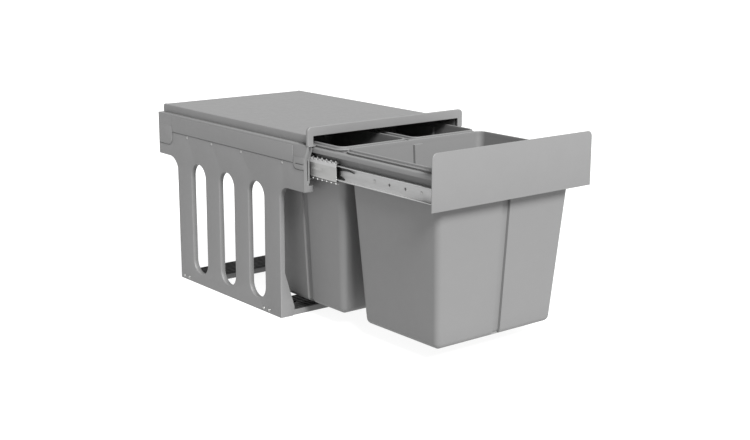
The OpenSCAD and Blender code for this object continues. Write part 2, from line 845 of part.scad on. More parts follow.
// The pressed upright grooves, in the front and rear walls when across is true, else in the outer wall;
// t widens them on all sides, for the ridge that they leave inside
module grooves(foot, mouth, across, t = 0) {
    w = groove_w + 2 * t;
    low = foot_r - t;
    cx = middle(mouth[0], mouth[1]);
    cy = middle(mouth[2], mouth[3]);
    h = rim_z0 - bin_z0;
    high = h - 3 + t;
    if (across) for (k = [2, 3]) {
        lean = atan((mouth[k] - foot[k]) / h);
        translate([cx, foot[k], bin_z0]) rotate([-lean, 0, 0])
            box(-w / 2, w / 2, k == 2 ? -3 : -groove_deep, k == 2 ? groove_deep : 3, low, high);
    } else {
        lean = atan((mouth[0] - foot[0]) / h);
        translate([foot[0], cy, bin_z0]) rotate([0, lean, 0])
            box(-3, groove_deep, -w / 2, w / 2, low, high);
    }
}

module bin(foot, mouth, across) {
    r = bin_corner_r;
    difference() {
        union() {
            difference() {
                taper(foot, mouth, r, bin_z0, rim_z0);
                grooves(foot, mouth, across);
            }
            difference() {
                union() {
                    translate([0, 0, rim_z0]) linear_extrude(ledge_z - rim_z0)
                        rounded_plan(inset(mouth, -rim_out), r + 6);
                    translate([0, 0, ledge_z - eps]) linear_extrude(rim_z1 - ledge_z + eps)
                        rounded_plan(inset(mouth, -bead_out), r + 4);
                }
                difference() {
                    translate([0, 0, rim_z0 - 1]) linear_extrude(ledge_z - rim_z0 - 1)
                        rounded_plan(inset(mouth, -rim_out + bin_t), r + 5);
                    translate([0, 0, rim_z0 - 2]) linear_extrude(ledge_z - rim_z0 + 1)
                        rounded_plan(mouth, r + 4);
                }
            }
        }
        difference() {
            taper(inset(foot, bin_t), inset(mouth, bin_t), r - 1, bin_z0 + bin_t + 0.4, rim_z0);
            grooves(inset(foot, bin_t), inset(mouth, bin_t), across, bin_t);
        }
        translate([0, 0, rim_z0 - eps]) linear_extrude(20) rounded_plan(inset(mouth, bin_t), r + 3);
    }
}

module front_bin() {
    color("gray") bin(
        [-bin_foot_half_w, bin_foot_half_w, front_bin_y0 + outer_taper, front_bin_y1 - front_inner_taper],
        [-bin_half_w, bin_half_w, front_bin_y0, front_bin_y1], true);
}

module rear_bin() {
    bin(
        [-bin_foot_half_w, -rear_bin_x0 - side_inner_taper,
            rear_bin_y0 + rear_inner_taper, rear_bin_y1 - outer_taper],
        [-bin_half_w, -rear_bin_x0, rear_bin_y0, rear_bin_y1], false);
}

module rear_bin_left() {
    color("gray") rear_bin();
}

module rear_bin_right() {
    color("gray") left() rear_bin();
}

side_frame_left();
side_frame_right();
lid();
lid_rivets();
base_rail_front();
base_rail_rear();
base_cover_front();
base_cover_rear();
base_side_screws_left();
base_side_screws_right();
slide_bracket_left();
slide_bracket_right();
slide_rivets_left();
slide_rivets_right();
slide_outer_left();
slide_outer_right();
slide_middle_left();
slide_middle_right();
outer_ball_cage_left();
outer_ball_cage_right();
outer_balls_left();
outer_balls_right();
inner_ball_cage_left();
inner_ball_cage_right();
inner_balls_left();
inner_balls_right();
slide_inner_left();
slide_inner_right();
release_lever_left();
release_lever_right();
drawer_rail_left();
drawer_rail_right();
rail_rivets_left();
rail_rivets_right();
drawer_cross_front();
drawer_cross_middle();
drawer_cross_rear();
front_panel();
front_panel_screws();
front_bin();
rear_bin_left();
rear_bin_right();
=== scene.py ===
import json
import math

import bmesh
import bpy
from bpy.props import FloatProperty, FloatVectorProperty, IntProperty, PointerProperty
from mathutils import Matrix, Vector
from mathutils.bvhtree import BVHTree

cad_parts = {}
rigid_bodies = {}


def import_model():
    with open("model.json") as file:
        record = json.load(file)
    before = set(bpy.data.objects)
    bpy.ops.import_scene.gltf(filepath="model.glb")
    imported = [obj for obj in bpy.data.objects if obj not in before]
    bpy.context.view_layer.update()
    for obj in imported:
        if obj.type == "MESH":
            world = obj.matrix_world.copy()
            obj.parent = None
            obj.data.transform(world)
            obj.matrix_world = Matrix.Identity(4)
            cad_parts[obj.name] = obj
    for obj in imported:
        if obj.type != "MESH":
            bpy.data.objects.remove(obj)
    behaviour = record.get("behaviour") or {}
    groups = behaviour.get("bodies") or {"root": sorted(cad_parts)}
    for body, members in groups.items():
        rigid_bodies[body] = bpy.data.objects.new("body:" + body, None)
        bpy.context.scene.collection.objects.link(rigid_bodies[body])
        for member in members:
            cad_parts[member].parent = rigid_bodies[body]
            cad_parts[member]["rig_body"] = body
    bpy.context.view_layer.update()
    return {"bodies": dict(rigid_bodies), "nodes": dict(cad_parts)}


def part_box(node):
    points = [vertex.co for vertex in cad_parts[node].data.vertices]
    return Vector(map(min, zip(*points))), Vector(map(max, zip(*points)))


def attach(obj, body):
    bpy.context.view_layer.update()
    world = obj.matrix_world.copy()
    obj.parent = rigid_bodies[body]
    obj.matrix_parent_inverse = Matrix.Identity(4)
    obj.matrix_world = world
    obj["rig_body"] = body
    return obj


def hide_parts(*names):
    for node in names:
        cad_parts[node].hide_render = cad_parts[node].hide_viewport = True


bl_info = {
    "name": "Pull-out waste bin unit",
    "version": (1, 0, 0),
    "blender": (4, 5, 0),
    "location": "3D View > Sidebar > Bin unit",
    "description": "Dresses the waste bin unit for a kitchen base cabinet, piece by piece",
    "category": "Add Mesh",
}

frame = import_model()
NODES = frame["nodes"]

MM = 0.001
SIDES = ("left", "right")


# Colours and sizes


def linear(hex_colour):
    """An sRGB hex colour as linear red, green and blue."""
    parts = [int(hex_colour[i:i + 2], 16) / 255 for i in (1, 3, 5)]
    return tuple(c / 12.92 if c <= 0.04045 else ((c + 0.055) / 1.055) ** 2.4 for c in parts)


def length(name, description, default_mm, low_mm, high_mm):
    """A size given in millimetres and kept in metres."""
    return FloatProperty(
        name=name, description=description, default=default_mm * MM, min=low_mm * MM, max=high_mm * MM,
        subtype="DISTANCE", unit="LENGTH", precision=5,
    )


def colour(name, description, hex_colour):
    """A colour given in sRGB hex and kept linear."""
    return FloatVectorProperty(
        name=name, description=description, default=linear(hex_colour), min=0, max=1, subtype="COLOR", size=3,
    )


class BinUnitSizes(bpy.types.PropertyGroup):
    fold_radius: length("Fold radius", "Outer radius where sheet steel is folded", 1.3, 0.1, 1.4)
    edge_radius: length("Edge radius", "Rounding left on cut sheet edges by the paint", 0.28, 0.05, 0.6)
    lid_rise: length("Lid height", "Height of the lid above the side frames", 15.2, 10, 20)
    lid_inset: length("Lid inset", "How far the lid's sides stand in from the hem's", 11.0, 5, 15)
    lid_corner: length("Lid corner radius", "Radius of the lid's rear corners in plan", 5.0, 3, 15)
    lid_fold: length("Lid fold radius", "Radius of the fold along the lid's sides", 2.0, 1.3, 5)
    lid_fold_rear: length("Lid rear fold radius", "Radius of the fold along the lid's rear edge", 8.5, 1.3, 9)
    lid_foot_in: length("Lid foot", "How far from the middle the lid's feet begin", 154.5, 150, 158)
    lip_depth: length("Hem depth", "Depth of the folded hem at the lid's front", 5.5, 3, 8)
    lip_corner: length("Hem corner radius", "Radius of the hem's top corners", 8.0, 3, 15)
    mouth_inset: length("Mouth inset", "How far the mouth's sides stand in from the hem's", 11.6, 8, 15)
    slide_edge: length("Slide edge radius", "Rounding on the rolled slide sections", 0.22, 0.05, 0.4)
    bin_wall: length("Bin wall", "Wall thickness of the moulded bins", 2.0, 1.0, 3.0)
    bin_taper_side: length("Side taper", "How far a bin's outer side draws in from rim to foot", 21.0, 5, 30)
    bin_taper_inner: length("Inner taper", "The same for a rear bin's side next to the other", 9.0, 2, 20)
    front_taper: length("Front bin, front taper", "How far the front bin's front draws in", 22.0, 5, 30)
    front_taper_back: length("Front bin, rear taper", "How far the front bin's rear draws in", 19.0, 5, 30)
    rear_taper: length("Rear bins, front taper", "How far the rear bins' front draws in", 24.0, 5, 30)
    rear_taper_back: length("Rear bins, rear taper", "How far the rear bins' rear draws in", 22.0, 5, 30)
    corner_radius: length("Upright corner radius", "Radius of the upright corners at the foot", 10.0, 4, 20)
    foot_radius: length("Foot radius", "Radius where the bin's wall meets its floor", 10.0, 2, 12)
    rim_out: length("Rim width", "How far the rim stands out beyond the wall", 6.4, 3, 10)
    bead_out: length("Bead width", "How far the raised bead stands out beyond the wall", 2.2, 1, 4)
    bead_height: length("Bead height", "Height of the raised bead above the rim's ledge", 3.8, 1, 5)
    rim_height: length("Rim height", "Height of the rim's turned-down edge", 3.3, 3, 8)
    groove_width: length("Groove width", "Width of the pressed upright grooves", 14.4, 4, 30)
    groove_depth: length("Groove depth", "Depth of the pressed upright grooves", 4.2, 0.2, 6)
    ball_segments: IntProperty(
        name="Ball facets", description="Facets round each ball", default=16, min=8, max=32,
    )


class BinUnitColours(bpy.types.PropertyGroup):
    coat: colour("Powder coat", "Grey of the painted steel", "#606060")
    zinc: colour("Zinc plating", "Colour of the outer and middle slide members", "#9c9c9b")
    # Painted light: this zinc is lighter than the plain one only to make up for the shade that falls on the
    # inner members and outer cages in the slides' channels.
    zinc_painted_lighter: colour("Zinc plating painted lighter", "Colour of the inner members and outer cages", "#a3a3a3")
    balls: colour("Ball steel", "Colour of the polished balls", "#d2d2d2")
    bin: colour("Bins", "Grey of the moulded bins", "#5e5e5e")
    black: colour("Black plastic", "Colour of the covers and levers", "#0b0b0b")
    floor: colour("Floor", "Colour of the studio floor", "#797979")


def sizes():
    return bpy.context.scene.bin_unit_sizes


def colours():
    return bpy.context.scene.bin_unit_colours


# Materials


def put(tree, kind, inputs=None, **settings):
    """Adds a node, sets its settings, and sets or links its inputs by name or number."""
    node = tree.nodes.new(kind)
    for name, value in settings.items():
        setattr(node, name, value)
    for key, value in (inputs or {}).items():
        if isinstance(value, bpy.types.NodeSocket):
            tree.links.new(value, node.inputs[key])
        else:
            node.inputs[key].default_value = value
    return node


def new_material(name):
    """A material without nodes but the one that gives the place on the piece, in metres."""
    material = bpy.data.materials.get(name) or bpy.data.materials.new(name)
    material.use_nodes = True
    tree = material.node_tree
    tree.nodes.clear()
    return material, tree, put(tree, "ShaderNodeTexCoord").outputs["Object"]


def noise(tree, position, size_mm, detail=2.0, roughness=0.5):
    """Noise of 0 to 1 with features of that real size."""
    features_per_metre = 1000 / size_mm
    return put(tree, "ShaderNodeTexNoise", {
        "Vector": position, "Scale": features_per_metre, "Detail": detail, "Roughness": roughness,
    }).outputs["Fac"]


def spread(tree, value, low, high):
    """A value of 0 to 1 spread between two others."""
    return put(tree, "ShaderNodeMapRange", {"Value": value, "To Min": low, "To Max": high}).outputs[0]


def toned(tree, base, value, low, high):
    """The base colour, darker where the value is low and lighter where it is high."""
    tone = spread(tree, value, low, high)
    return put(tree, "ShaderNodeVectorMath", {0: tuple(base), 1: tone}, operation="MULTIPLY").outputs[0]


def mottled(tree, base, position, size_mm, low, high):
    """The base colour, made a little lighter and darker in soft patches."""
    return toned(tree, base, noise(tree, position, size_mm, 3.0, 0.55), low, high)


def uneven(tree, position, size_mm, low, high):
    """A value that wanders between two others in soft patches."""
    return spread(tree, noise(tree, position, size_mm), low, high)


def relief(tree, height, strength, depth):
    """The normal of a skin that rises and falls with the height."""
    return put(tree, "ShaderNodeBump", {"Strength": strength, "Distance": depth, "Height": height}).outputs[0]


def finish_shader(tree, inputs):
    shader = put(tree, "ShaderNodeBsdfPrincipled", inputs)
    put(tree, "ShaderNodeOutputMaterial", {"Surface": shader.outputs[0]})


def powder_coat():
    """Polyester powder coat on sheet steel, sprayed and baked: satin, with a fine orange-peel skin."""
    material, tree, position = new_material("powder_coated_steel")
    peel = noise(tree, position, 1.6, 2.0, 0.45)
    finish_shader(tree, {
        "Base Color": mottled(tree, colours().coat, position, 38, 0.965, 1.035),
        "Roughness": uneven(tree, position, 9, 0.44, 0.54),
        "IOR": 1.5,
        "Normal": relief(tree, peel, 0.10, 0.4 * MM),
    })
    return material


def zinc_plate(name, base_colour, metallic, rough_low, rough_high):
    """Cold-rolled steel, roll formed along its length and zinc plated: fine streaks along the slide."""
    material, tree, position = new_material(name)
    along_slide = put(tree, "ShaderNodeMapping", {"Vector": position, "Scale": (1.0, 0.035, 1.0)})
    streaks = noise(tree, along_slide.outputs[0], 0.9, 3.0, 0.6)
    finish_shader(tree, {
        "Base Color": toned(tree, base_colour, streaks, 0.9, 1.07),
        "Metallic": metallic,
        "Roughness": uneven(tree, position, 6, rough_low, rough_high),
        "Normal": relief(tree, streaks, 0.12, 0.2 * MM),
    })
    return material


def dull_zinc():
    """Plain zinc plating: grey bare metal with blurred reflections."""
    return zinc_plate("zinc_plated_rolled_steel", colours().zinc, 1.0, 0.36, 0.46)


def zinc_with_painted_light():
    """Zinc plating with its colour painted lighter, as painted light against the shade in the slides'
    channels; milkier and less of a mirror than the plain one.
    """
    return zinc_plate("zinc_plated_steel_painted_lighter", colours().zinc_painted_lighter, 0.5, 0.46, 0.58)


def polished_steel():
    """Hardened ball steel, lapped: nearly a mirror, with the faintest haze."""
    material, tree, position = new_material("lapped_ball_steel")
    finish_shader(tree, {
        "Base Color": mottled(tree, colours().balls, position, 1.2, 0.95, 1.03),
        "Metallic": 1.0,
        "Roughness": uneven(tree, position, 0.8, 0.10, 0.20),
    })
    return material


def moulded_plastic(name, base, grain_mm, low, high, rough_low, rough_high):
    """Injection-moulded plastic with a spark-eroded texture, drawn coarser than real so that it shows."""
    material, tree, position = new_material(name)
    grain = noise(tree, position, grain_mm)
    finish_shader(tree, {
        "Base Color": mottled(tree, base, position, 60, low, high),
        "Roughness": uneven(tree, position, 14, rough_low, rough_high),
        "IOR": 1.49,
        "Normal": relief(tree, grain, 0.14, 0.3 * MM),
    })
    return material


def bin_plastic():
    """Polypropylene, injection moulded: matt, soft sheen."""
    return moulded_plastic("moulded_polypropylene", colours().bin, 1.1, 0.97, 1.03, 0.48, 0.58)


def black_plastic():
    """Black moulded ABS of the covers and levers: nearly black, with a low gloss."""
    return moulded_plastic("moulded_black_abs", colours().black, 0.9, 0.9, 1.15, 0.42, 0.55)


def floor_material():
    """Opal acrylic table top lit from below: nearly shadowless, with a faint unevenness."""
    material, tree, position = new_material("backlit_opal_acrylic")
    finish_shader(tree, {
        "Base Color": mottled(tree, colours().floor, position, 500, 0.985, 1.0),
        "Roughness": uneven(tree, position, 120, 0.82, 0.92),
        "IOR": 1.4,
        "Emission Color": (1, 1, 1, 1),
        "Emission Strength": 0.9,
    })
    return material


MAKERS = {
    "coat": powder_coat, "zinc": dull_zinc, "zinc_painted_lighter": zinc_with_painted_light, "balls": polished_steel,
    "bin": bin_plastic, "black": black_plastic, "floor": floor_material,
}
MADE = {}


def material_for(key):
    """The material of that key, made when it is first asked for."""
    if key not in MADE:
        MADE[key] = MAKERS[key]()
    return MADE[key]


# Objects


def object_from(bm, name, material, smooth_angle=35):
    """A new object in the scene from a bmesh, shaded smooth across shallow angles."""
    mesh = bpy.data.meshes.new(name)
    bm.to_mesh(mesh)
    bm.free()
    mesh.materials.clear()
    mesh.materials.append(material)
    mesh.shade_smooth()
    mesh.set_sharp_from_angle(angle=math.radians(smooth_angle))
    piece = bpy.data.objects.new(name, mesh)
    bpy.context.scene.collection.objects.link(piece)
    return piece


def settle(piece, node, *replaced):
    """Puts a piece on its CAD node's body, in place of the nodes that it replaces."""
    body = NODES[node]["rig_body"]
    if replaced:
        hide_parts(*replaced)
    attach(piece, body)


def baked(piece):
    """The piece with its modifiers made part of its mesh."""
    graph = bpy.context.evaluated_depsgraph_get()
    mesh = bpy.data.meshes.new_from_object(piece.evaluated_get(graph))
    piece.modifiers.clear()
    old = piece.data
    piece.data = mesh
    bpy.data.meshes.remove(old)
    return piece


def passing_object(bm, name):
    """An object that holds a bmesh while a modifier works on it."""
    mesh = bpy.data.meshes.new(name)
    bm.to_mesh(mesh)
    holder = bpy.data.objects.new(name, mesh)
    bpy.context.scene.collection.objects.link(holder)
    return holder


def remove_with_mesh(holder):
    mesh = holder.data
    bpy.data.objects.remove(holder)
    bpy.data.meshes.remove(mesh)


# Outlines and simple solids


def arc(cx, cy, r, start, sweep, steps):
    """Points of an arc, angles in degrees."""
    turns = [math.radians(start + sweep * k / steps) for k in range(steps + 1)]
    return [(cx + r * math.cos(t), cy + r * math.sin(t)) for t in turns]


def skinned(bm, rings):
    """Faces between rings of points that have the same number of them, and a cap on each end."""
    count = len(rings[0])
    for a, b in zip(rings, rings[1:]):
        for k in range(count):
            n = (k + 1) % count
            bm.faces.new((a[k], a[n], b[n], b[k]))
    bm.faces.new(list(reversed(rings[0])))
    bm.faces.new(rings[-1])


def swept(bm, sections):
    """A solid skinned over a list of closed sections."""
    skinned(bm, [[bm.verts.new(p) for p in section] for section in sections])


def lathe(profile, segments=28):
    """A closed turned solid about Z from (radius, height) pairs, from the lowest end to the highest."""
    bm = bmesh.new()
    turns = [math.tau * k / segments for k in range(segments)]
    rings = []
    for radius, height in profile:
        if radius == 0:
            rings.append([bm.verts.new((0, 0, height))])
        else:
            rings.append([bm.verts.new((radius * math.cos(t), radius * math.sin(t), height)) for t in turns])
    for low, high in zip(rings, rings[1:]):
        for k in range(segments):
            n = (k + 1) % segments
            corners = [low[k % len(low)], low[n % len(low)], high[n % len(high)], high[k % len(high)]]
            bm.faces.new(list(dict.fromkeys(corners)))
    bmesh.ops.recalc_face_normals(bm, faces=bm.faces)
    return bm


def mirrored(side):
    """The sign of X on that side."""
    return -1 if side == "left" else 1


# Copies of CAD nodes with rounded edges

# Points of a CAD mesh that lie closer together are one point.
SAME_POINT = 2e-6
# Faces that turn less from each other are one flat face.
FLAT = math.radians(0.6)
# A surface runs on over an edge that turns less.
RUNS_ON = math.radians(20)
# An edge that turns more is rounded.
ROUNDED = math.radians(28)
# A surface that is wider on average is a sheet's face, and a narrower one its cut edge.
SHEET_FACE = 3 * MM
# How often the rounding is tried with smaller radii where it went wrong.
TRIES = 6


def cut_out(bm, low, high):
    """The mesh with a box cut out of it."""
    block = bmesh.new()
    bmesh.ops.create_cube(block, size=1)
    for v in block.verts:
        v.co = Vector(low[i] + (high[i] - low[i]) * (v.co[i] + 0.5) for i in range(3))
    holder, cutter = passing_object(bm, "cutting"), passing_object(block, "cutting")
    bm.free()
    block.free()
    cut = holder.modifiers.new("cut", "BOOLEAN")
    cut.operation, cut.solver, cut.object = "DIFFERENCE", "EXACT", cutter
    baked(holder)
    result = bmesh.new()
    result.from_mesh(holder.data)
    remove_with_mesh(holder)
    remove_with_mesh(cutter)
    return result


def merged_copy(node, cuts):
    """A copy of a CAD node's loose triangles with boxes cut out, merged into faces without spare points."""
    bm = bmesh.new()
    bm.from_mesh(NODES[node].data)
    bmesh.ops.remove_doubles(bm, verts=bm.verts, dist=SAME_POINT)
    for low, high in cuts:
        bm = cut_out(bm, low, high)
        bmesh.ops.remove_doubles(bm, verts=bm.verts, dist=SAME_POINT)
    bmesh.ops.dissolve_degenerate(bm, dist=SAME_POINT / 2, edges=bm.edges)
    bmesh.ops.dissolve_limit(bm, angle_limit=FLAT, verts=bm.verts, edges=bm.edges)
    loose_end = math.pi
    spare = [v for v in bm.verts if len(v.link_edges) == 2 and abs(v.calc_edge_angle(loose_end)) < FLAT]
    bmesh.ops.dissolve_verts(bm, verts=spare)
    bm.faces.ensure_lookup_table()
    bm.edges.index_update()
    return bm


def widths_of_surfaces(bm):
    """For each face, the mean width of the smooth surface it belongs to."""
    group, width = {}, []
    for first in bm.faces:
        if first.index in group:
            continue
        number, area, rim, stack = len(width), 0.0, 0.0, [first]
        group[first.index] = number
        while stack:
            face = stack.pop()
            area += face.calc_area()
            for e in face.edges:
                others = [f for f in e.link_faces if f is not face]
                if others and e.calc_face_angle(0) < RUNS_ON:
                    if others[0].index not in group:
                        group[others[0].index] = number
                        stack.append(others[0])
                else:
                    rim += e.calc_length()
        width.append(2 * area / max(rim, 1e-9))
    return {index: width[number] for index, number in group.items()}


def bevelled(bm, weights, size):
    """The mesh with its edges rounded by their weights, as a new bmesh."""
    layer = bm.edges.layers.float.get("bevel_weight_edge") or bm.edges.layers.float.new("bevel_weight_edge")
    for e in bm.edges:
        e[layer] = weights.get(e.index, 0.0)
    holder = passing_object(bm, "rounding")
    bevel = holder.modifiers.new("rounding", "BEVEL")
    bevel.limit_method = "WEIGHT"
    bevel.width = size
    bevel.segments = 3
    bevel.use_clamp_overlap = False
    bevel.miter_outer = "MITER_SHARP"
    baked(holder)
    result = bmesh.new()
    result.from_mesh(holder.data)
    remove_with_mesh(holder)
    bmesh.ops.triangulate(result, faces=[f for f in result.faces if len(f.verts) > 4])
    return result


def strays(rounded, surface, slack):
    """Points of a rounded mesh that lie off the surface it was made from, with their faces' corners."""
    found = []
    for f in rounded.faces:
        corners = [v.co for v in f.verts]
        middle = f.calc_center_median()
        for p in [middle] + [(a + b) / 2 for a, b in zip(corners, corners[1:] + corners[:1])]:
            distance = surface.find_nearest(p)[3]
            if distance > slack:
                found += [middle] + [c.copy() for c in corners]
                break
    return found


def near_edge(point, e, reach):
    """Whether a point lies within reach of an edge."""
    a, b = e.verts[0].co, e.verts[1].co
    along = (point - a).dot(b - a) / max((b - a).length_squared, 1e-12)
    return (a + (b - a) * min(max(along, 0), 1) - point).length < reach


def dressed(node, material_key, fold, edge, cuts=()):
    """A copy of a CAD node with its folds and cut edges rounded, in place of the node."""
    bm = merged_copy(node, cuts)
    widths = widths_of_surfaces(bm)
    weights = {}
    for e in bm.edges:
        if len(e.link_faces) == 2 and e.calc_face_angle(0) > ROUNDED:
            broad = min(widths[f.index] for f in e.link_faces) > SHEET_FACE
            weights[e.index] = 1.0 if broad and e.is_convex else edge / fold
    surface = BVHTree.FromBMesh(bm)
    for attempt in range(TRIES):
        rounded = bevelled(bm, weights, fold)
        stray = strays(rounded, surface, 0.75 * fold)
        if not stray or attempt == TRIES - 1:
            break
        rounded.free()
        for e in bm.edges:
            if weights.get(e.index) and any(near_edge(p, e, 1.5 * fold) for p in stray):
                weights[e.index] = weights[e.index] * 0.5 if weights[e.index] > 0.1 else 0.0
    bm.free()
    settle(object_from(rounded, node + "_dressed", material_for(material_key), 40), node, node)


def painted_sheet(node, cuts=()):
    """A piece of painted sheet steel, from its CAD node."""
    dressed(node, "coat", sizes().fold_radius, sizes().edge_radius, cuts)


def islands(node):
    """The lowest and highest corner of each separate solid of a CAD node."""
    bm = bmesh.new()
    bm.from_mesh(NODES[node].data)
    bmesh.ops.remove_doubles(bm, verts=bm.verts, dist=SAME_POINT)
    seen, found = set(), []
    for first in bm.verts:
        if first.index in seen:
            continue
        stack, members = [first], []
        seen.add(first.index)
        while stack:
            v = stack.pop()
            members.append(v.co.copy())
            for e in v.link_edges:
                other = e.other_vert(v)
                if other.index not in seen:
                    seen.add(other.index)
                    stack.append(other)
        low = Vector(min(c[i] for c in members) for i in range(3))
        high = Vector(max(c[i] for c in members) for i in range(3))
        found.append((low, high))
    bm.free()
    return found


# Geometry Nodes


def new_tree(name, sockets):
    """An empty Geometry Nodes tree with a geometry input, the named inputs and a geometry output."""
    tree = bpy.data.node_groups.new(name, "GeometryNodeTree")
    tree.interface.new_socket(name="Geometry", in_out="INPUT", socket_type="NodeSocketGeometry")
    for label, kind, default in sockets:
        item = tree.interface.new_socket(name=label, in_out="INPUT", socket_type=kind)
        if default is not None:
            item.default_value = default
    tree.interface.new_socket(name="Geometry", in_out="OUTPUT", socket_type="NodeSocketGeometry")
    return tree, put(tree, "NodeGroupInput").outputs


def close_tree(tree, geometry, material):
    """Ends a tree: its instances made real, painted, and given out."""
    real = put(tree, "GeometryNodeRealizeInstances", {"Geometry": geometry})
    painted = put(tree, "GeometryNodeSetMaterial", {"Geometry": real.outputs[0], "Material": material})
    put(tree, "NodeGroupOutput", {"Geometry": painted.outputs[0]})
    return tree


def fastener_tree():
    """One turned fastener on every point, turned to lie along the given direction."""
    tree, given = new_tree("fasteners_on_points", [
        ("Fastener", "NodeSocketObject", None),
        ("Direction", "NodeSocketVector", (0, 0, 1)),
        ("Material", "NodeSocketMaterial", None),
    ])
    one = put(tree, "GeometryNodeObjectInfo", {"Object": given["Fastener"]}, transform_space="ORIGINAL")
    turn = put(tree, "FunctionNodeAlignRotationToVector", {"Vector": given["Direction"]}, axis="Z")
    many = put(tree, "GeometryNodeInstanceOnPoints", {
        "Points": given["Geometry"], "Instance": one.outputs["Geometry"], "Rotation": turn.outputs[0],
    })
    return close_tree(tree, many.outputs[0], given["Material"])


def ball_tree():
    """One ball on every point."""
    tree, given = new_tree("balls_on_points", [
        ("Ball radius", "NodeSocketFloat", 1.9 * MM),
        ("Facets", "NodeSocketInt", 16),
        ("Material", "NodeSocketMaterial", None),
    ])
    rings = put(tree, "ShaderNodeMath", {0: given["Facets"], 1: 0.6}, operation="MULTIPLY")
    ball = put(tree, "GeometryNodeMeshUVSphere", {
        "Segments": given["Facets"], "Rings": rings.outputs[0], "Radius": given["Ball radius"],
    })
    smooth = put(tree, "GeometryNodeSetShadeSmooth", {"Geometry": ball.outputs[0]})
    many = put(tree, "GeometryNodeInstanceOnPoints", {
        "Points": given["Geometry"], "Instance": smooth.outputs[0],
    })
    return close_tree(tree, many.outputs[0], given["Material"])


def tooth_tree():
    """One folded-up tooth on every point, as on the edge of a stamped ball cage."""
    tree, given = new_tree("teeth_on_points", [
        ("Tooth size", "NodeSocketVector", (1.1 * MM, 5.5 * MM, 2 * MM)),
        ("Material", "NodeSocketMaterial", None),
    ])
    tooth = put(tree, "GeometryNodeMeshCube", {"Size": given["Tooth size"]})
    many = put(tree, "GeometryNodeInstanceOnPoints", {
        "Points": given["Geometry"], "Instance": tooth.outputs["Mesh"],
    })
    return close_tree(tree, many.outputs[0], given["Material"])


def grown(tree, name, points, values):
    """A plain mesh grown by a tree on a set of points."""
    mesh = bpy.data.meshes.new(name)
    mesh.from_pydata([tuple(p) for p in points], [], [])
    piece = bpy.data.objects.new(name, mesh)
    bpy.context.scene.collection.objects.link(piece)
    modifier = piece.modifiers.new("grown", "NODES")
    modifier.node_group = tree
    for item in tree.interface.items_tree:
        if item.in_out == "INPUT" and item.name in values:
            modifier[item.identifier] = values[item.name]
    return baked(piece)


# Fasteners


def rivet(half, low_r, shank_r, high_r, head=0.7 * MM):
    """The turned outline of a rivet with a domed head at each end, from half its length and its radii."""
    turns = [math.radians(18 * k) for k in range(1, 5)]
    return [
        (0, -half),
        *((low_r * math.sin(t), -half + head * (1 - math.cos(t))) for t in turns),
        (low_r, -half + head), (shank_r, -half + head), (shank_r, half - head), (high_r, half - head),
        *((high_r * math.cos(t), half - head + head * math.sin(t)) for t in turns),
        (0, half),
    ]


def screw(half, shank_r, head_r, head):
    """The turned outline of a screw with a flat round head and a sunk drive."""
    point, chamfer = 0.4 * MM, 0.35 * MM
    return [
        (0, -half), (shank_r * 0.7, -half), (shank_r, -half + point), (shank_r, half - head),
        (head_r, half - head), (head_r, half - chamfer), (head_r - chamfer, half),
        (head_r * 0.42, half), (head_r * 0.36, half - head * 0.5), (0, half - head * 0.6),
    ]


def turned(name, points, profile, direction):
    """Turned zinc-plated pieces, one on each point, lying along the direction."""
    zinc = material_for("zinc")
    pattern = object_from(lathe(profile), name + "_pattern", zinc, 50)
    tree = bpy.data.node_groups.get("fasteners_on_points") or fastener_tree()
    piece = grown(tree, name, points, {"Fastener": pattern, "Direction": direction, "Material": zinc})
    bpy.data.objects.remove(pattern)
    return piece


def fasteners(node, direction, outline, *measures):
    """Turned fasteners in place of a CAD node's, each as long as the first solid and on its own middle."""
    found = islands(node)
    low, high = found[0]
    half = max(abs(d * (b - a)) for d, a, b in zip(direction, low, high)) / 2
    points = [(a + b) / 2 for a, b in found]
    settle(turned(node + "_turned", points, outline(half, *measures), direction), node, node)


# Side frames' front edges


def lip_place(side):
    """The inner front edge of a side frame: its distance from the middle, and its front face's Y."""
    low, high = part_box(f"slide_outer_{side}")
    return max(abs(low.x), abs(high.x)) + 0.2 * MM, low.y - 1 * MM


def lip_slot(side):
    """The lowest and highest corner of the narrow upright slot beside the front edge."""
    edge, y = lip_place(side)
    low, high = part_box(f"slide_outer_{side}")
    slot_from, slot_to, deep, below_top = 1.7 * MM, 3.3 * MM, 2.5 * MM, 11 * MM
    xs = sorted(mirrored(side) * (edge + offset) for offset in (slot_from, slot_to))
    return (xs[0], y - 1 * MM, low.z - 2 * MM), (xs[1], y + deep, high.z - below_top)


def rolled_lip(side):
    """The rolled bead along a side frame's inner front edge, upright and then leaning forwards."""
    edge, y = lip_place(side)
    slide_low, slide_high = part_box(f"slide_outer_{side}")
    lid_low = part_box("lid")[0]
    radius, steps = 0.95 * MM, 10
    x = mirrored(side) * (edge - 0.45 * MM)
    bend_y, bend_z = y + 0.5 * MM, slide_high.z - 9 * MM
    end_y, end_z = lid_low.y + 2.2 * MM, lid_low.z - 5 * MM
    lean = math.atan2(end_y - bend_y, end_z - bend_z)
    turns = [math.tau * k / steps for k in range(steps)]
    bm = bmesh.new()
    swept(bm, [
        [
            (x + radius * math.cos(t), py + radius * math.sin(t) * math.cos(a),
             pz - radius * math.sin(t) * math.sin(a))
            for t in turns
        ]
        for py, pz, a in ((bend_y, slide_low.z - 6 * MM, 0), (bend_y, bend_z, 0), (end_y, end_z, lean))
    ])
    bmesh.ops.recalc_face_normals(bm, faces=bm.faces)
    piece = object_from(bm, f"side_frame_{side}_lip", material_for("coat"), 50)
    settle(piece, f"side_frame_{side}")


# Slides


def balls(node):
    """Balls in place of a CAD node's."""
    found = islands(node)
    tree = bpy.data.node_groups.get("balls_on_points") or ball_tree()
    piece = grown(tree, node + "_lapped", [(low + high) / 2 for low, high in found], {
        "Ball radius": (found[0][1].x - found[0][0].x) / 2,
        "Facets": sizes().ball_segments,
        "Material": material_for("balls"),
    })
    settle(piece, node, node)


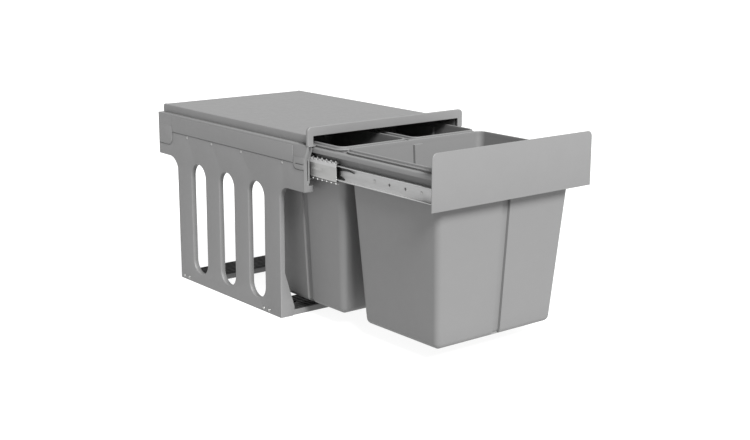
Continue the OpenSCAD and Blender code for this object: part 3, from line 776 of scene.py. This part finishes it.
def combed_cage(side):
    """An outer ball cage: an arm for each row of balls, and an apron hung on the upper one by teeth."""
    node = f"outer_ball_cage_{side}"
    # The cage and its teeth are drawn in zinc painted lighter: painted light on parts that lie in the rail's
    # shade.
    zinc = material_for("zinc_painted_lighter")
    low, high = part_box(node)
    sign = mirrored(side)
    inboard, outboard = (low.x, high.x) if sign > 0 else (high.x, low.x)
    middle, half = (low.z + high.z) / 2, (high.z - low.z) / 2
    tooth_long, tooth_deep, tooth_low, tooth_high = 6.6 * MM, 1.9 * MM, 14.7 * MM, 17.0 * MM
    arm_low, apron_low, apron_thick, lap = 16.2 * MM, 9.5 * MM, 0.8 * MM, 0.3 * MM
    lower_arm_wide, lower_arm_top = 2.6 * MM, -17.8 * MM
    bm = bmesh.new()
    for x0, x1, z0, z1 in (
        (inboard, outboard - sign * (tooth_deep - lap), arm_low, tooth_high),
        (outboard - sign * apron_thick, outboard, apron_low, tooth_low + lap),
        (inboard, inboard + sign * lower_arm_wide, -half, lower_arm_top),
    ):
        section = [(x0, z0), (x1, z0), (x1, z1), (x0, z1)]
        swept(bm, [[(x, y, middle + z) for x, z in section] for y in (low.y, high.y)])
    bmesh.ops.recalc_face_normals(bm, faces=bm.faces)
    settle(object_from(bm, f"{node}_strips", zinc, 40), node, node)
    tooth_x, tooth_z = outboard - sign * tooth_deep / 2, middle + (tooth_high + tooth_low) / 2
    points = [(tooth_x, (a.y + b.y) / 2, tooth_z)
              for a, b in islands(f"outer_balls_{side}") if (a.z + b.z) / 2 > middle]
    tree = bpy.data.node_groups.get("teeth_on_points") or tooth_tree()
    size = Vector((tooth_deep, tooth_long, tooth_high - tooth_low))
    settle(grown(tree, f"{node}_teeth", points, {"Tooth size": size, "Material": zinc}), node)


def stop_pins(side):
    """Flush pins in the middle member's web."""
    node = f"slide_middle_{side}"
    low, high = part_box(node)
    sign = mirrored(side)
    radius, half, edge = 2.48 * MM, 0.6 * MM, 0.15 * MM
    x = sign * (max(abs(low.x), abs(high.x)) - half)
    points = [(x, low.y + share * (high.y - low.y), (low.z + high.z) / 2) for share in (0.09, 0.5, 0.91)]
    piece = turned(f"{node}_pins", points, rivet(half, radius, radius, radius, edge), (sign, 0, 0))
    settle(piece, node)


def moulded_lever(side):
    """A release lever: an upright bar with a short foot and a long thin blade that arches forwards."""
    node = f"release_lever_{side}"
    low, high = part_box(node)
    middle, half = (low.z + high.z) / 2, 10.4 * MM
    further_back, bar = 9.4 * MM, 6.6 * MM
    back = high.y + further_back
    front = back - bar
    blade_long, blade_thick, blade_z, rise, drop = 38 * MM, 3.3 * MM, 4.6 * MM, 2.4 * MM, 0.8 * MM
    steps = 12
    upper, lower = [], []
    for t in (k / steps for k in range(steps + 1)):
        arch = blade_z + rise * math.sin(math.radians(170 * t)) - drop * t
        spare = blade_thick * (1 - t ** 2.2) / 2
        upper.append((front - blade_long * t, arch + spare))
        lower.append((front - blade_long * t, arch - spare))
    outline = [(back, -half), (back, half), (front, half)] + upper + lower[-2::-1]
    foot = front - 12 * MM
    outline += [(front, -5 * MM), (front - 5.4 * MM, -6 * MM), (foot, -8.6 * MM)]
    outline += [(foot, -half), (front, -half)]
    bm = bmesh.new()
    swept(bm, [[(x, y, middle + z) for y, z in outline] for x in (low.x, high.x)])
    bm.normal_update()
    bmesh.ops.triangulate(bm, faces=[f for f in bm.faces if len(f.verts) > 4])
    bmesh.ops.recalc_face_normals(bm, faces=bm.faces)
    settle(object_from(bm, f"{node}_moulded", material_for("black"), 35), node, node)


# Bins

# The rim's turned-down edge in mm, in from its outer face and up from its foot: its inside, its foot
# and then the narrow slot.
TURNED_EDGE = (
    (3.2, 1.4), (3.2, 0.3), (2.9, 0.0), (0.6, 0.0), (0.0, 0.5), (0.0, 1.0),
    (1.5, 1.1), (1.5, 2.1), (0.0, 2.2),
)


def wall_run(a, b, groove, width):
    """Stations along a wall from a to b, with four more across the groove, and how deep each lies in it."""
    stations = [(a, 0.0)]
    if groove is not None:
        sign = 1 if b > a else -1
        half, flank = width / 2, 0.9 * MM
        for offset, deep in ((-half - flank, 0.0), (-half, 1.0), (half, 1.0), (half + flank, 0.0)):
            stations.append((groove + sign * offset, deep))
    stations.append((b, 0.0))
    return stations


def bin_ring(rect, radius, z, deep, grooves, width):
    """One level of a bin's wall: a rounded rectangle, counter-clockwise, pressed in at its grooves."""
    x0, x1, y0, y1 = rect
    r, steps = max(radius, 0.2 * MM), 8
    points = []

    def corner(cx, cy, start):
        points.extend((x, y, z) for x, y in arc(cx, cy, r, start, 90, steps)[1:-1])

    for x, d in wall_run(x0 + r, x1 - r, grooves.get("front"), width):
        points.append((x, y0 + d * deep, z))
    corner(x1 - r, y0 + r, -90)
    for y, d in wall_run(y0 + r, y1 - r, grooves.get("right"), width):
        points.append((x1 - d * deep, y, z))
    corner(x1 - r, y1 - r, 0)
    for x, d in wall_run(x1 - r, x0 + r, grooves.get("back"), width):
        points.append((x, y1 - d * deep, z))
    corner(x0 + r, y1 - r, 90)
    for y, d in wall_run(y1 - r, y0 + r, grooves.get("left"), width):
        points.append((x0 + d * deep, y, z))
    corner(x0 + r, y0 + r, 180)
    return points


def bin_section(z0, top, rim):
    """A bin's wall in section, from under its floor up, over the rim and down inside to its floor.

    Each point: its offset out from the wall, its height, and 1 where grooves are pressed in, else 0."""
    s = sizes()
    out, bead, wall, r = s.rim_out, s.bead_out, s.bin_wall, s.foot_radius
    ledge, groove_top = top - s.bead_height, rim - 3 * MM
    soft, ramp, hollow, levels = 0.7 * MM, 1.0 * MM, 0.6 * MM, 12
    turns = [math.radians(18 * k) for k in range(6)]
    section = [(-r - 22 * MM, z0 + hollow, 0), (-r - 20 * MM, z0 + hollow, 0), (-r - 19 * MM, z0, 0)]
    section += [(-r + r * math.sin(t), z0 + r - r * math.cos(t), 0) for t in turns[:3]]
    section += [(-r + r * math.sin(t), z0 + r - r * math.cos(t), 1) for t in turns[3:]]
    section += [(0, z0 + r + (groove_top - z0 - r) * k / levels, 1) for k in range(1, levels + 1)]
    section += [(0, groove_top + ramp, 0), (0, ledge - 2.2 * MM, 0)]
    section += [(out - a * MM, rim + b * MM, 0) for a, b in TURNED_EDGE]
    section += [(x, z, 0) for x, z in arc(out - soft, ledge - soft, soft, 0, 90, 4)]
    section += [(bead + 0.5 * MM, ledge, 0), (bead, ledge + 0.5 * MM, 0)]
    section += [(x, z, 0) for x, z in arc(bead - soft, top - soft, soft, 0, 90, 4)]
    section += [(x, z, 0) for x, z in arc(-wall + soft, top - soft, soft, 90, 90, 4)]
    r_in, floor, groove_in = r - wall * 0.5, z0 + wall, groove_top + wall
    run = groove_in - floor - r_in
    section += [(-wall, groove_in + ramp, 0)]
    section += [(-wall, floor + r_in + run * k / levels, 1) for k in range(levels, 0, -1)]
    section += [(-wall - r_in * (1 - math.cos(t)), floor + r_in * (1 - math.sin(t)), 1) for t in turns]
    return section


def moulded_bin(node, tapers, grooves):
    """A bin with tapered walls, a rounded foot, a beaded rim, and grooves placed at rim and foot."""
    s = sizes()
    low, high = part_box(node)
    out, wall, z0 = s.rim_out, s.bin_wall, low.z
    mouth = (low.x + out, high.x - out, low.y + out, high.y - out)
    foot = (mouth[0] + tapers[0], mouth[1] - tapers[1], mouth[2] + tapers[2], mouth[3] - tapers[3])
    rim = high.z - s.bead_height - s.rim_height
    corner_growth, slack = 4 * MM, 1e-9
    bm = bmesh.new()
    rings = []
    for offset, z, deep in bin_section(z0, high.z, rim):
        t = min(max((z - z0) / (rim - z0), 0), 1)
        places = {
            wall_side: at_foot + (at_rim - at_foot) * t for wall_side, (at_rim, at_foot) in grooves.items()
        }
        rect = [f + (m - f) * t for f, m in zip(foot, mouth)]
        rect = (rect[0] - offset, rect[1] + offset, rect[2] - offset, rect[3] + offset)
        radius = s.corner_radius + corner_growth * t + offset
        inside = offset <= -wall + slack
        width = s.groove_width + (2 * wall if inside else 0)
        points = bin_ring(rect, radius, z, deep * s.groove_depth, places, width)
        rings.append([bm.verts.new(p) for p in points])
    skinned(bm, rings)
    bmesh.ops.recalc_face_normals(bm, faces=bm.faces)
    settle(object_from(bm, node + "_moulded", material_for("bin"), 32), node, node)


# Lid

LID_SHEET = 1.2 * MM
LID_EDGE = 0.35 * MM


def lid_wall_path(half_x, y_front, y_rear, radius, inset):
    """The lid's plan from its left front round the rear to its right front, moved in by the inset."""
    r = max(radius - inset, 0.3 * MM)
    x, y = half_x - inset, y_rear - inset
    path = [(-x, y_front)] + [(-x, y_front + (y - r - y_front) * k / 4) for k in (1, 2, 3)]
    path += arc(-x + r, y - r, r, 180, -90, 8)
    path += arc(x - r, y - r, r, 90, -90, 8)
    path += [(x, y_front + (y - r - y_front) * k / 4) for k in (3, 2, 1)] + [(x, y_front)]
    return path


def lid_fold_shares():
    """For each point of the lid's plan, how far its fold has gone from the sides' radius to the rear's."""
    rising = [min(k / 3, 1.0) for k in range(9)]
    return [0.0] * 4 + rising + rising[::-1] + [0.0] * 4


def lid_pan(bm, half, y_front, y_rear, z0, top):
    """The folded pan of the lid, open at the front."""
    s = sizes()
    sheet, soft, run = LID_SHEET, LID_EDGE, 10 * MM
    rings = []
    for k, share in enumerate(lid_fold_shares()):
        fold = s.lid_fold + (s.lid_fold_rear - s.lid_fold) * share
        outline = [(run, top)] + arc(fold, top - fold, fold, 90, 90, 6)
        outline += [(0, z0 + soft), (soft, z0), (sheet - soft, z0), (sheet, z0 + soft)]
        outline += arc(fold, top - fold, fold - sheet, 180, -90, 4) + [(run, top - sheet)]
        ring = []
        for inset, z in outline:
            x, y = lid_wall_path(half, y_front, y_rear, s.lid_corner, inset)[k]
            ring.append(bm.verts.new((x, y, z)))
        rings.append(ring)
    for a, b in zip(rings, rings[1:]):
        for k in range(len(a) - 1):
            bm.faces.new((a[k], a[k + 1], b[k + 1], b[k]))
    bm.faces.new([ring[0] for ring in rings])
    bm.faces.new([ring[-1] for ring in reversed(rings)])
    bm.faces.new(rings[0] + list(reversed(rings[-1])))


def lid_foot(bm, side, inner, outer, y0, y1, z0):
    """The flange turned in along the foot of one of the lid's sides."""
    sheet, soft = LID_SHEET, LID_EDGE
    section = [(inner, z0 + soft), (inner + soft, z0), (outer, z0),
               (outer, z0 + sheet), (inner + soft, z0 + sheet), (inner, z0 + sheet - soft)]
    swept(bm, [[(mirrored(side) * x, y, z) for x, z in section] for y in (y0, y1)])


def arch_path(half, foot_z, top_z, r, steps):
    """An upright arch with rounded corners, from its left foot over the top to its right foot."""
    path = [(-half, foot_z)] + arc(-half + r, top_z - r, r, 180, -90, steps)
    return path + arc(half - r, top_z - r, r, 90, -90, steps) + [(half, foot_z)]


def mouth_hem(bm, half, z0, lip_top, lid_top, y0, y1):
    """The hem round the mouth: each section runs from the mouth's edge over the front and back behind."""
    s = sizes()
    fold, sheet, soft, steps = s.fold_radius, LID_SHEET, LID_EDGE, 8
    outer = arch_path(half, z0, lip_top, s.lip_corner, steps)
    corner = [math.radians(90 * k / steps) for k in range(steps + 1)]
    inward = [(1, 0)] + [(math.cos(t), -math.sin(t)) for t in corner]
    inward += [(-math.sin(t), -math.cos(t)) for t in corner] + [(-1, 0)]
    inner = arch_path(half - s.mouth_inset, z0, lid_top + 0.5 * MM, 1.5 * MM, steps)
    back = arch_path(half - s.lid_inset - sheet, z0, lid_top - sheet, 1.0 * MM, steps)
    turns = [math.radians(22.5 * k) for k in range(5)]
    sections = []
    for point, into, hole, rear in zip(outer, inward, inner, back):
        def at(depth, y):
            return (point[0] + into[0] * depth, y, point[1] + into[1] * depth)
        towards = Vector((point[0] - hole[0], point[1] - hole[1])).normalized() * soft
        section = [(hole[0], y0 + soft, hole[1]), (hole[0] + towards.x, y0, hole[1] + towards.y)]
        section += [at(fold - fold * math.sin(t), y0 + fold - fold * math.cos(t)) for t in turns]
        section += [at(fold - fold * math.cos(t), y1 - fold + fold * math.sin(t)) for t in turns]
        section += [(rear[0], y1, rear[1]), (rear[0], y1 - sheet, rear[1]), at(sheet, y1 - sheet),
                    at(sheet, y0 + sheet), (hole[0] + towards.x, y0 + sheet, hole[1] + towards.y),
                    (hole[0], y0 + sheet - soft, hole[1])]
        sections.append(section)
    swept(bm, sections)


def folded_lid():
    """The lid: a folded pan, open at the front, under an upright hem with the mouth cut in it."""
    s = sizes()
    low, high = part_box("lid")
    top, lip_back = low.z + s.lid_rise, low.y + s.lip_depth
    pan_half = high.x - s.lid_inset
    bm = bmesh.new()
    lid_pan(bm, pan_half, lip_back - LID_SHEET, high.y, low.z, top)
    for side in SIDES:
        lid_foot(bm, side, s.lid_foot_in, pan_half - LID_SHEET * 0.6, lip_back, high.y - s.lid_corner, low.z)
    mouth_hem(bm, high.x, low.z, high.z, top, low.y, lip_back)
    bmesh.ops.recalc_face_normals(bm, faces=bm.faces)
    settle(object_from(bm, "lid_folded", material_for("coat"), 30), "lid", "lid")


# Stage

# The photograph's camera, fitted to the straight edges in it: its place in metres, its azimuth, elevation and
# roll in degrees, and its focal length and the picture's width in pixels.
CAMERA_PLACE = (-1.3837, -1.9349, 0.6785)
CAMERA_TURN = (-38.84, 13.23, 0.17)
FOCAL_PIXELS = 1284.8
PICTURE_WIDTH = 750

SKY_STRENGTH = 0.74
KEY_STRENGTH = 8.8
KEY_ANGLE = 24
KEY_DIRECTION = (-0.162, -0.715, 0.680)


def aimed(name, data, rotation):
    """A light or camera in the scene, turned as given."""
    holder = bpy.data.objects.new(name, data)
    holder.rotation_mode = "QUATERNION"
    holder.rotation_quaternion = rotation
    bpy.context.scene.collection.objects.link(holder)
    return holder


def studio_floor():
    """A wide floor under the unit."""
    bm = bmesh.new()
    bmesh.ops.create_grid(bm, x_segments=1, y_segments=1, size=40)
    floor = object_from(bm, "studio_floor", material_for("floor"))


def studio_light(scene):
    """An even white sky and one broad key light from the front."""
    scene.world = scene.world or bpy.data.worlds.new("soft_box")
    scene.world.use_nodes = True
    tree = scene.world.node_tree
    tree.nodes.clear()
    sky = put(tree, "ShaderNodeBackground", {"Color": (1, 1, 1, 1), "Strength": SKY_STRENGTH})
    put(tree, "ShaderNodeOutputWorld", {"Surface": sky.outputs[0]})
    key = bpy.data.lights.new("front_key", "SUN")
    key.energy = KEY_STRENGTH
    key.angle = math.radians(KEY_ANGLE)
    aimed("front_key", key, Vector(KEY_DIRECTION).to_track_quat("Z", "Y"))


def catalogue_camera(scene):
    """The photograph's camera."""
    azimuth, elevation, roll = (math.radians(v) for v in CAMERA_TURN)
    level = math.cos(elevation)
    back = Vector((math.sin(azimuth) * level, -math.cos(azimuth) * level, math.sin(elevation)))
    camera = bpy.data.cameras.new("catalogue_camera")
    camera.sensor_width = 36
    camera.lens = FOCAL_PIXELS / PICTURE_WIDTH * camera.sensor_width
    camera.clip_start, camera.clip_end = 0.05, 200
    rolled = Matrix.Rotation(roll, 4, "Z").to_quaternion()
    holder = aimed("catalogue_camera", camera, (-back).to_track_quat("-Z", "Y") @ rolled)
    holder.location = CAMERA_PLACE
    scene.camera = holder


# Operators


class SideFrames(bpy.types.Operator):
    """Make the two painted side frames"""

    bl_idname = "bin_unit.side_frames"
    bl_label = "Side frames"

    def execute(self, context):
        for side in SIDES:
            painted_sheet(f"side_frame_{side}", [lip_slot(side)])
            rolled_lip(side)
        return {"FINISHED"}


class LidAndPanel(bpy.types.Operator):
    """Make the lid with its folded front, and the drawer's front panel"""

    bl_idname = "bin_unit.lid_and_panel"
    bl_label = "Lid and front panel"

    def execute(self, context):
        folded_lid()
        dressed("front_panel", "coat", 0.8 * MM, 0.8 * MM)
        return {"FINISHED"}


class Base(bpy.types.Operator):
    """Make the base rails and their ribbed covers"""

    bl_idname = "bin_unit.base"
    bl_label = "Base"

    def execute(self, context):
        for end in ("front", "rear"):
            painted_sheet(f"base_rail_{end}")
            dressed(f"base_cover_{end}", "black", 0.4 * MM, 0.3 * MM)
        return {"FINISHED"}


class Drawer(bpy.types.Operator):
    """Make the drawer's rails and cross bars, and the slides' brackets"""

    bl_idname = "bin_unit.drawer"
    bl_label = "Drawer ring"

    def execute(self, context):
        for side in SIDES:
            painted_sheet(f"drawer_rail_{side}")
            painted_sheet(f"slide_bracket_{side}")
        for place in ("front", "middle", "rear"):
            painted_sheet(f"drawer_cross_{place}")
        return {"FINISHED"}


class Slides(bpy.types.Operator):
    """Make the ball slides with their cages, balls and release levers"""

    bl_idname = "bin_unit.slides"
    bl_label = "Ball slides"

    def execute(self, context):
        edge = sizes().slide_edge
        for side in SIDES:
            for part in ("slide_outer", "slide_middle", "inner_ball_cage"):
                dressed(f"{part}_{side}", "zinc", edge, edge * 0.8)
            # The inner members take the zinc painted lighter: painted light against the shade in the channel.
            dressed(f"slide_inner_{side}", "zinc_painted_lighter", edge, edge * 0.8)
            combed_cage(side)
            moulded_lever(side)
            stop_pins(side)
            balls(f"outer_balls_{side}")
            balls(f"inner_balls_{side}")
        return {"FINISHED"}


class Fasteners(bpy.types.Operator):
    """Make the rivets and screws"""

    bl_idname = "bin_unit.fasteners"
    bl_label = "Rivets and screws"

    def execute(self, context):
        for side in SIDES:
            outwards = (mirrored(side), 0, 0)
            fasteners(f"slide_rivets_{side}", outwards, rivet, 3.2 * MM, 2.0 * MM, 2.6 * MM)
            fasteners(f"rail_rivets_{side}", outwards, rivet, 2.8 * MM, 1.8 * MM, 2.8 * MM)
            fasteners(f"base_side_screws_{side}", outwards, screw, 1.5 * MM, 3.0 * MM, 0.8 * MM)
        fasteners("lid_rivets", (0, 0, 1), rivet, 1.9 * MM, 1.4 * MM, 1.9 * MM)
        fasteners("front_panel_screws", (0, 1, 0), screw, 2.0 * MM, 3.8 * MM, 1.8 * MM)
        return {"FINISHED"}


class Bins(bpy.types.Operator):
    """Mould the front bin and the two rear bins"""

    bl_idname = "bin_unit.bins"
    bl_label = "Bins"

    def execute(self, context):
        s = sizes()
        side, inner, front, back = s.bin_taper_side, s.bin_taper_inner, s.rear_taper, s.rear_taper_back
        centred = (0.0, 0.0)
        tapers = (side, side, s.front_taper, s.front_taper_back)
        moulded_bin("front_bin", tapers, {"front": centred, "back": centred})
        low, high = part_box("rear_bin_left")
        middle = (low.y + high.y) / 2
        leaning = (middle + 2.5 * MM, middle + 7.5 * MM)
        moulded_bin("rear_bin_left", (side, inner, front, back), {"left": leaning})
        moulded_bin("rear_bin_right", (inner, side, front, back), {"right": leaning})
        return {"FINISHED"}


class Stage(bpy.types.Operator):
    """Set up the pale floor, the soft light and the camera"""

    bl_idname = "bin_unit.stage"
    bl_label = "Stage"

    def execute(self, context):
        studio_floor()
        studio_light(context.scene)
        catalogue_camera(context.scene)
        context.scene.view_settings.view_transform = "Standard"
        context.scene.view_settings.look = "None"
        return {"FINISHED"}


OPERATORS = (SideFrames, LidAndPanel, Base, Drawer, Slides, Fasteners, Bins, Stage)


class BinUnitPanel(bpy.types.Panel):
    """Lists the bin unit's sizes, colours and pieces"""

    bl_idname = "VIEW3D_PT_bin_unit"
    bl_label = "Bin unit"
    bl_space_type = "VIEW_3D"
    bl_region_type = "UI"
    bl_category = "Bin unit"

    def draw(self, context):
        for operator in OPERATORS:
            self.layout.operator(operator.bl_idname)
        for group in (context.scene.bin_unit_sizes, context.scene.bin_unit_colours):
            box = self.layout.box()
            for name in group.__annotations__:
                box.prop(group, name)


CLASSES = (BinUnitSizes, BinUnitColours, *OPERATORS, BinUnitPanel)


def register():
    for cls in CLASSES:
        bpy.utils.register_class(cls)
    bpy.types.Scene.bin_unit_sizes = PointerProperty(type=BinUnitSizes)
    bpy.types.Scene.bin_unit_colours = PointerProperty(type=BinUnitColours)


def unregister():
    del bpy.types.Scene.bin_unit_colours
    del bpy.types.Scene.bin_unit_sizes
    for cls in reversed(CLASSES):
        bpy.utils.unregister_class(cls)


def clear_start_objects():
    """Removes what a new Blender file starts with."""
    kept = {o.name for o in NODES.values()} | {o.name for o in frame["bodies"].values()}
    for o in list(bpy.data.objects):
        if o.name not in kept:
            bpy.data.objects.remove(o)


def main():
    register()
    clear_start_objects()
    for operator in OPERATORS:
        group, name = operator.bl_idname.split(".")
        getattr(getattr(bpy.ops, group), name)()


if __name__ == "__main__":
    main()
